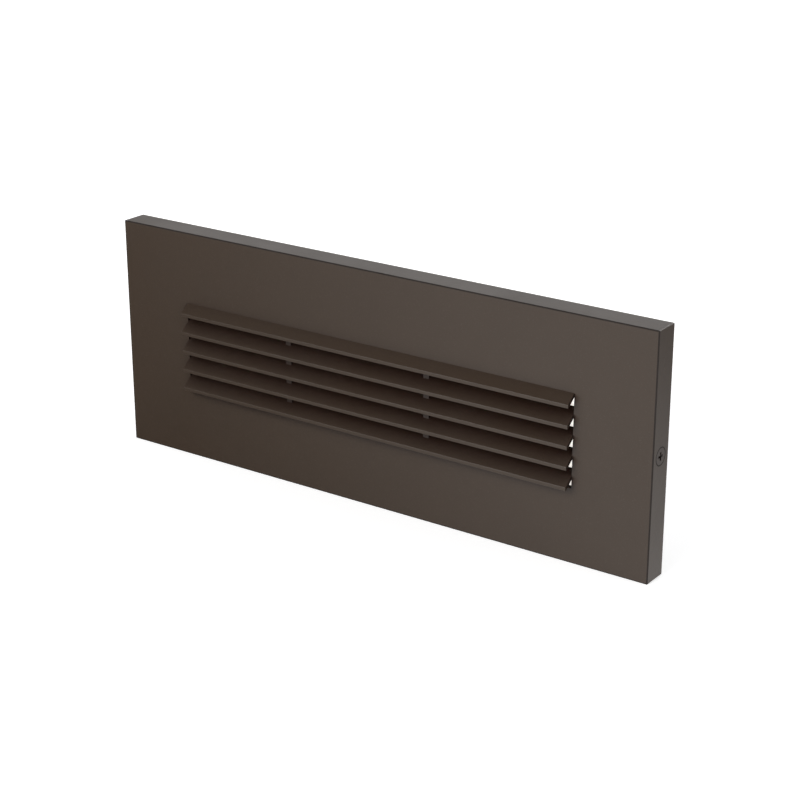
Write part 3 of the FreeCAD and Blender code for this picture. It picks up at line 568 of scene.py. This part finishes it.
# ---------------------------------------------------------------- foam gaskets
# Die-cut strips of closed-cell foam, one between frame and back box and one between frame and wall. Tiny cut
# cells show on their faces, with painted shade in them.
foam_black = (0.035, 0.035, 0.035)
foam_cell_shade = (0.012, 0.012, 0.012)
foam_cells_per_metre = 1900.0
foam_cell_rim = (0.15, 0.5)         # in cells: the cell's floor ends, its rim is level
foam_cell_depth = 0.0002
foam_patch_size = 0.008
foam_smooth, foam_dull = 0.8, 0.92
material, tree, shader, place = new_finish("foam_rubber", foam_black, roughness=0.85)
open_cells = fade(tree, cells(tree, place, foam_cells_per_metre)["Distance"], *foam_cell_rim)
tree.links.new(blended(tree, open_cells, foam_black, foam_cell_shade), shader.inputs["Base Color"])
rough = clouds(tree, place, foam_patch_size, low=foam_smooth, high=foam_dull)
tree.links.new(rough, shader.inputs["Roughness"])
relief(tree, shader, combine(tree, "SUBTRACT", 1.0, open_cells), foam_cell_depth, strength=0.8)
dress(material, "box_gasket", "wall_gasket")

# ---------------------------------------------------------------- mounting frame
# Stamped from galvanised sheet. The zinc shows its spangle, and sheared edges
# are brighter where the shear broke through it.
spangle_light = (0.56, 0.57, 0.59)
spangle_dark = (0.38, 0.39, 0.41)
sheared = (0.68, 0.68, 0.68)
spangles_per_metre = 190.0
wobbles_per_metre = 160.0
wobble_reach = 0.004
flake_smooth, flake_dull = 0.34, 0.52
frame_edge_width = 0.0005
frame_grain_size = 0.0012
frame_relief = 0.00005
material, tree, shader, place = new_finish("galvanised_sheet", spangle_light, roughness=0.42, metallic=0.85)
wobble = tree.nodes.new("ShaderNodeTexNoise")
wobble.inputs["Scale"].default_value = wobbles_per_metre
tree.links.new(place, wobble.inputs["Vector"])
shift = tree.nodes.new("ShaderNodeVectorMath")
shift.operation = "MULTIPLY_ADD"
shift.inputs[1].default_value = (wobble_reach, wobble_reach, wobble_reach)
tree.links.new(wobble.outputs["Color"], shift.inputs[0])
tree.links.new(place, shift.inputs[2])
flake = tree.nodes.new("ShaderNodeSeparateColor")
spangle = cells(tree, shift.outputs["Vector"], spangles_per_metre)
tree.links.new(spangle["Color"], flake.inputs["Color"])
edge = placed_effect(tree, worn_edge, place, Width=frame_edge_width, Breakup=0.4)
toned = blended(tree, flake.outputs["Red"], spangle_dark, spangle_light)
tree.links.new(blended(tree, edge["Edge"], toned, sheared), shader.inputs["Base Color"])
tree.links.new(between(tree, flake.outputs["Green"], flake_smooth, flake_dull), shader.inputs["Roughness"])
relief(tree, shader, noise(tree, place, frame_grain_size), frame_relief, strength=0.5)
dress(material, "mounting_frame")

# ---------------------------------------------------------------- lens
# Opal glass behind the louvre, lit from the back by the LED board. It is milky all through, so it hides the
# LEDs; its even glow is painted light, full only to the camera.
opal_white = (0.93, 0.93, 0.90)
opal_shade = (0.88, 0.88, 0.85)
opal_painted_glow = (1.0, 0.965, 0.91)
opal_painted_glow_low = (0.95, 0.90, 0.83)
opal_scatter = 0.2
opal_scatter_reach = 0.002
opal_cloud_size = 0.03
opal_ripple_size = 0.004
opal_dull, opal_smooth = 0.3, 0.22
opal_relief = 0.00005
lens_painted_glow = 0.85
lens_spill = 0.03
material, tree, shader, place = new_finish("opal_glass", opal_white, roughness=0.28)
shader.inputs["Subsurface Weight"].default_value = opal_scatter
shader.inputs["Subsurface Scale"].default_value = opal_scatter_reach
cloud = clouds(tree, place, opal_cloud_size, detail=2.0)
tree.links.new(blended(tree, cloud, opal_shade, opal_white), shader.inputs["Base Color"])
tree.links.new(between(tree, cloud, opal_dull, opal_smooth), shader.inputs["Roughness"])
tree.links.new(blended(tree, cloud, opal_painted_glow_low, opal_painted_glow), shader.inputs["Emission Color"])
# The painted glow is full only where it is seen directly, so the gaps round it stay dark.
seen = tree.nodes.new("ShaderNodeLightPath").outputs["Is Camera Ray"]
tree.links.new(between(tree, seen, lens_spill, lens_painted_glow), shader.inputs["Emission Strength"])
relief(tree, shader, noise(tree, place, opal_ripple_size, detail=1.0), opal_relief, strength=0.4)
dress(material, "lens")

# ---------------------------------------------------------------- lens gasket
# Translucent moulded silicone that seals the lens against the plate. The clips
# press the two together.
silicone_pale = (0.72, 0.72, 0.70)
silicone_shade = (0.62, 0.62, 0.59)
silicone_scuffed = (0.8, 0.8, 0.78)
silicone = moulded("silicone", silicone_pale, silicone_shade, silicone_scuffed, roughness=0.5, grain=0.8)
dress(silicone, "lens_gasket")

# ---------------------------------------------------------------- faceplate
# One aluminium die casting with the louvre, under a satin dark bronze powder coat.
# The coat has painted shade along the edges, a painted dark reflection along the outer front edge, and
# painted shade round the end screws and deep between the slats.
bronze = (0.057, 0.038, 0.0255)
bronze_deep = (0.052, 0.0345, 0.0230)
bronze_speck = (0.078, 0.057, 0.043)
bronze_edge_shade = (0.030, 0.020, 0.015)
painted_rim_shade = (0.016, 0.010, 0.007)
painted_gap_shade = (0.022, 0.0098, 0.0058)
plate_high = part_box("faceplate")[1]
plate_half_width = plate_high[0]
plate_half_height = plate_high[2]
plate_front = -0.0112               # the face, which the slats stand proud of
end_screw_y = plate_front / 2
end_screw_gap = 0.0035              # radius of the gap round the head
end_screw_ring = (0.0002, 0.0003)   # to each side of the gap: dark up to, gone at
end_face_reach = (0.0006, 0.0008)   # below the end face: dark up to, gone at
coat_edge_width = 0.0004
coat_edge_shade_strength = 0.6
speck_strength = 0.35
rim_width = 0.0005
rim_fade = (0.8, 1.1)               # in widths of the line: dark up to, gone at
rim_roughness = 0.4
gap_reach = 0.014
gap_light = (0.88, 0.67)            # share of the sky in view where a gap starts, is full
gap_patch_size = 0.003
coat_dull, coat_smooth = 0.05, 0.03
coat_relief = 0.00006


def rim_shade_line_effect():
    """Marks the plate's outer front edge for a painted dark reflection, and the gap round each end screw's
    head for painted shade.
    """
    inputs = {"Place": ("Vector", None), "Width": ("Float", rim_width)}
    group, given, result = effect_group("rim_shade_line", inputs, ("Line",))
    axes = group.nodes.new("ShaderNodeSeparateXYZ")
    group.links.new(given.outputs["Place"], axes.inputs["Vector"])
    from_side = combine(group, "SUBTRACT", plate_half_width, combine(group, "ABSOLUTE", axes.outputs["X"]))
    from_top = combine(group, "SUBTRACT", plate_half_height, combine(group, "ABSOLUTE", axes.outputs["Z"]))
    from_front = combine(group, "SUBTRACT", axes.outputs["Y"], plate_front)
    from_rim = combine(group, "MAXIMUM", combine(group, "MINIMUM", from_side, from_top), from_front)
    rim = fade(group, combine(group, "DIVIDE", from_rim, given.outputs["Width"]), *rim_fade)
    level = combine(group, "SUBTRACT", axes.outputs["Y"], end_screw_y)
    squares = [combine(group, "POWER", side, 2.0) for side in (level, axes.outputs["Z"])]
    from_axis = combine(group, "SQRT", combine(group, "ADD", *squares))
    from_gap = combine(group, "ABSOLUTE", combine(group, "SUBTRACT", from_axis, end_screw_gap))
    ring = fade(group, from_gap, *end_screw_ring)
    ring = combine(group, "MULTIPLY", ring, fade(group, from_side, *end_face_reach))
    group.links.new(combine(group, "MAXIMUM", rim, ring), result.inputs["Line"])
    return group


def gap_shade_effect():
    """Finds the gaps of a piece that little light reaches, where its own walls shut it out, for painted
    shade.
    """
    inputs = {"Place": ("Vector", None), "Reach": ("Float", gap_reach)}
    group, given, result = effect_group("gap_shade", inputs, ("Depth",))
    open_sky = group.nodes.new("ShaderNodeAmbientOcclusion")
    open_sky.samples = 8
    open_sky.only_local = True
    group.links.new(given.outputs["Reach"], open_sky.inputs["Distance"])
    shut_shade = remap(group, open_sky.outputs["AO"], *gap_light)
    patches = clouds(group, given.outputs["Place"], gap_patch_size, low=0.9, high=1.0)
    group.links.new(combine(group, "MULTIPLY", shut_shade, patches), result.inputs["Depth"])
    return group


rim_shade_line = rim_shade_line_effect()
gap_shade = gap_shade_effect()


def powder_coat(name, colour, deep, painted_edge_shade, roughness):
    """Satin bronze coat with its specks, and painted shade and reflection over it: dark edges, gaps and rim.
    """
    material, tree, shader, place = new_finish(name, colour, roughness)
    skin = placed_effect(tree, paint_skin, place, Peel=1.0)
    # Painted shade along the edges.
    edge = placed_effect(tree, worn_edge, place, Width=coat_edge_width, Breakup=0.25)["Edge"]
    # A painted dark reflection along the outer front edge, and painted shade in the gap round each end
    # screw.
    rim = placed_effect(tree, rim_shade_line, place, Width=rim_width)["Line"]
    # Painted shade deep in the gaps between the slats, where little light reaches.
    gap = placed_effect(tree, gap_shade, place, Reach=gap_reach)["Depth"]
    specks = combine(tree, "MULTIPLY", skin["Specks"], speck_strength)
    edge = combine(tree, "MULTIPLY", edge, coat_edge_shade_strength)
    toned = blended(tree, skin["Tone"], deep, colour)
    # Over the tone in turn: specks, painted shade along the edges, painted shade in the gaps, and the
    # painted rim line.
    for mask, over in ((specks, bronze_speck), (edge, painted_edge_shade), (gap, painted_gap_shade), (rim, painted_rim_shade)):
        toned = blended(tree, mask, toned, over)
    tree.links.new(toned, shader.inputs["Base Color"])
    rough = between(tree, skin["Tone"], roughness + coat_dull, roughness - coat_smooth)
    rough = weighted_sum(tree, (rough, 1.0), (rim, rim_roughness))
    tree.links.new(rough, shader.inputs["Roughness"])
    relief(tree, shader, skin["Height"], coat_relief, strength=0.55)
    return material


dress(powder_coat("bronze_powder_coat", bronze, bronze_deep, bronze_edge_shade, roughness=0.36), "faceplate")

# ---------------------------------------------------------------- end screws
# Countersunk stainless screws, painted to match the plate that they hold. Shade is painted nearly black
# along the edges of the cross recess.
screw_bronze = (0.062, 0.044, 0.035)
screw_deep = (0.045, 0.031, 0.024)
screw_edge_shade = (0.012, 0.008, 0.006)
# The edges of the cross recess get painted shade.
screw_paint = powder_coat("screw_paint", screw_bronze, screw_deep, screw_edge_shade, roughness=0.4)
dress(screw_paint, "left_end_screw", "right_end_screw")

# ---------------------------------------------------------------- floor
# A plain pale floor that the light stands on, and that fades to white far out.
# Glossy faces see a soft card in its place, dark at the left and back and light at
# the right and front, which gives the plate its slow shift of grey.
floor_z = cad_low[2]
floor_half = 4.0
floor_pale = (0.82, 0.82, 0.82)
paper_dark = (0.81, 0.81, 0.81)
paper_light = (0.83, 0.83, 0.83)
paper_patch_size = 0.4
floor_specular = 0.1
white = (1.0, 1.0, 1.0, 1.0)
glow_near, glow_far = 0.6, 1.0
glow_distances = (0.5, 1.6)
card_dark, card_light = 0.03, 1.0
card_reach = (-0.10, 0.15)          # metres towards the right and the front
card_curve = 1.4


def white_source(tree, kind, strength):
    """An Emission or Background that shines white with the strength of a socket."""
    source = tree.nodes.new(kind)
    source.inputs["Color"].default_value = white
    tree.links.new(strength, source.inputs["Strength"])
    return source.outputs[0]


def switched(tree, switch, usual, instead):
    """Shows one shader where the switch is 0 and the other instead where it is 1."""
    mix = tree.nodes.new("ShaderNodeMixShader")
    tree.links.new(switch, mix.inputs["Fac"])
    tree.links.new(usual, mix.inputs[1])
    tree.links.new(instead, mix.inputs[2])
    return mix.outputs["Shader"]


bpy.ops.mesh.primitive_plane_add(size=2 * floor_half, location=(0, 0, floor_z))
floor = completed("floor")
floor.select_set(False)
material, tree, shader, place = new_finish("floor_white", floor_pale, roughness=0.8)
shader.inputs["Specular IOR Level"].default_value = floor_specular
paper = clouds(tree, place, paper_patch_size, detail=2.0)
tree.links.new(blended(tree, paper, paper_dark, paper_light), shader.inputs["Base Color"])
path = tree.nodes.new("ShaderNodeLightPath")
from_middle = tree.nodes.new("ShaderNodeVectorMath")
from_middle.operation = "LENGTH"
tree.links.new(place, from_middle.inputs[0])
pale = remap(tree, from_middle.outputs["Value"], *glow_distances, glow_near, glow_far)
glow = combine(tree, "MULTIPLY", path.outputs["Is Camera Ray"], pale)
lit_floor = tree.nodes.new("ShaderNodeAddShader")
tree.links.new(shader.outputs["BSDF"], lit_floor.inputs[0])
tree.links.new(white_source(tree, "ShaderNodeEmission", glow), lit_floor.inputs[1])
axes = tree.nodes.new("ShaderNodeSeparateXYZ")
tree.links.new(place, axes.inputs["Vector"])
rightward = combine(tree, "SUBTRACT", axes.outputs["X"], axes.outputs["Y"])
swept = combine(tree, "POWER", remap(tree, rightward, *card_reach), card_curve)
card = white_source(tree, "ShaderNodeEmission", between(tree, swept, card_dark, card_light))
surface = switched(tree, path.outputs["Is Glossy Ray"], lit_floor.outputs["Shader"], card)
tree.links.new(surface, tree.nodes["Material Output"].inputs["Surface"])
floor.data.materials.append(material)

# ---------------------------------------------------------------- white room
# White all round for the camera, and a weak even dome for diffuse light. Glossy
# faces see a sheen in its place, bright low down at the right and dark elsewhere.
dome_level = 0.28
sheen_dark, sheen_bright = 0.05, 1.0
sheen_front, sheen_right = -0.3, 0.95
sheen_turn = (-0.35, 0.15)          # along that direction: dark up to, bright at
sheen_low, sheen_high = 1.0, 0.1
sheen_heights = (0.3, 0.7)          # height of the ray's direction: full up to, faint at
world = bpy.data.worlds.new("studio")
bpy.context.scene.world = world
world.use_nodes = True
tree = world.node_tree
tree.nodes.remove(tree.nodes["Background"])
path = tree.nodes.new("ShaderNodeLightPath")
axes = tree.nodes.new("ShaderNodeSeparateXYZ")
direction = tree.nodes.new("ShaderNodeTexCoord").outputs["Generated"]
tree.links.new(direction, axes.inputs["Vector"])
ahead = weighted_sum(tree, (axes.outputs["Y"], sheen_front), (axes.outputs["X"], sheen_right))
around = remap(tree, ahead, *sheen_turn, sheen_dark, sheen_bright)
upward = remap(tree, axes.outputs["Z"], *sheen_heights, sheen_low, sheen_high)
sheen = combine(tree, "MULTIPLY", around, upward)
change = combine(tree, "SUBTRACT", sheen, dome_level)
change = combine(tree, "MULTIPLY", change, path.outputs["Is Glossy Ray"])
air = white_source(tree, "ShaderNodeBackground", combine(tree, "ADD", change, dome_level))
backdrop = tree.nodes.new("ShaderNodeBackground")
backdrop.inputs["Color"].default_value = white
backdrop.inputs["Strength"].default_value = 1.0
room = switched(tree, path.outputs["Is Camera Ray"], air, backdrop.outputs["Background"])
tree.links.new(room, tree.nodes["World Output"].inputs["Surface"])

# ---------------------------------------------------------------- lamps
# Soft boxes: a large key high in front, weak ones at the sides, and three behind
# whose light the top of the plate throws back at a low angle. Each is aimed at
# the origin and given as its place, its width in metres and its power in watts.
soft_boxes = {
    "key": ((-0.385, -1.435, 0.80), 1.2, 19.0),
    "right": ((1.55, 0.0, 0.41), 0.8, 3.0),
    "left": ((-1.47, 0.39, 0.49), 0.8, 2.0),
    "back": ((0.0, 1.48, 0.6), 0.8, 9.6),
    "back_left": ((-0.85, 1.22, 0.6), 0.8, 1.8),
    "back_right": ((0.85, 1.22, 0.6), 0.8, 1.5),
}
for name, (position, width, power) in soft_boxes.items():
    lamp = bpy.data.lights.new(name, "AREA")
    lamp.shape = "SQUARE"
    lamp.size = width
    lamp.energy = power
    holder = bpy.data.objects.new(name, lamp)
    bpy.context.collection.objects.link(holder)
    holder.location = position
    holder.rotation_euler = (-Vector(position)).to_track_quat("-Z", "Y").to_euler()

# ---------------------------------------------------------------- camera
# Where the photograph was taken from, to the right of the plate and above it. Its
# place and lens were fitted to the plate's edges.
camera_place = Vector((0.42081, -0.58596, 0.26521))
camera_azimuth = 35.2
camera_elevation = 20.71
camera_lens = 86.4
camera_data = bpy.data.cameras.new("camera")
camera_data.lens = camera_lens
camera_data.sensor_width = 36.0
camera_data.clip_start = 0.01
camera = bpy.data.objects.new("camera", camera_data)
bpy.context.collection.objects.link(camera)
camera.location = camera_place
camera.rotation_euler = (math.radians(90 - camera_elevation), 0.0, math.radians(camera_azimuth))
bpy.context.scene.camera = camera
bpy.context.scene.view_settings.view_transform = "Standard"
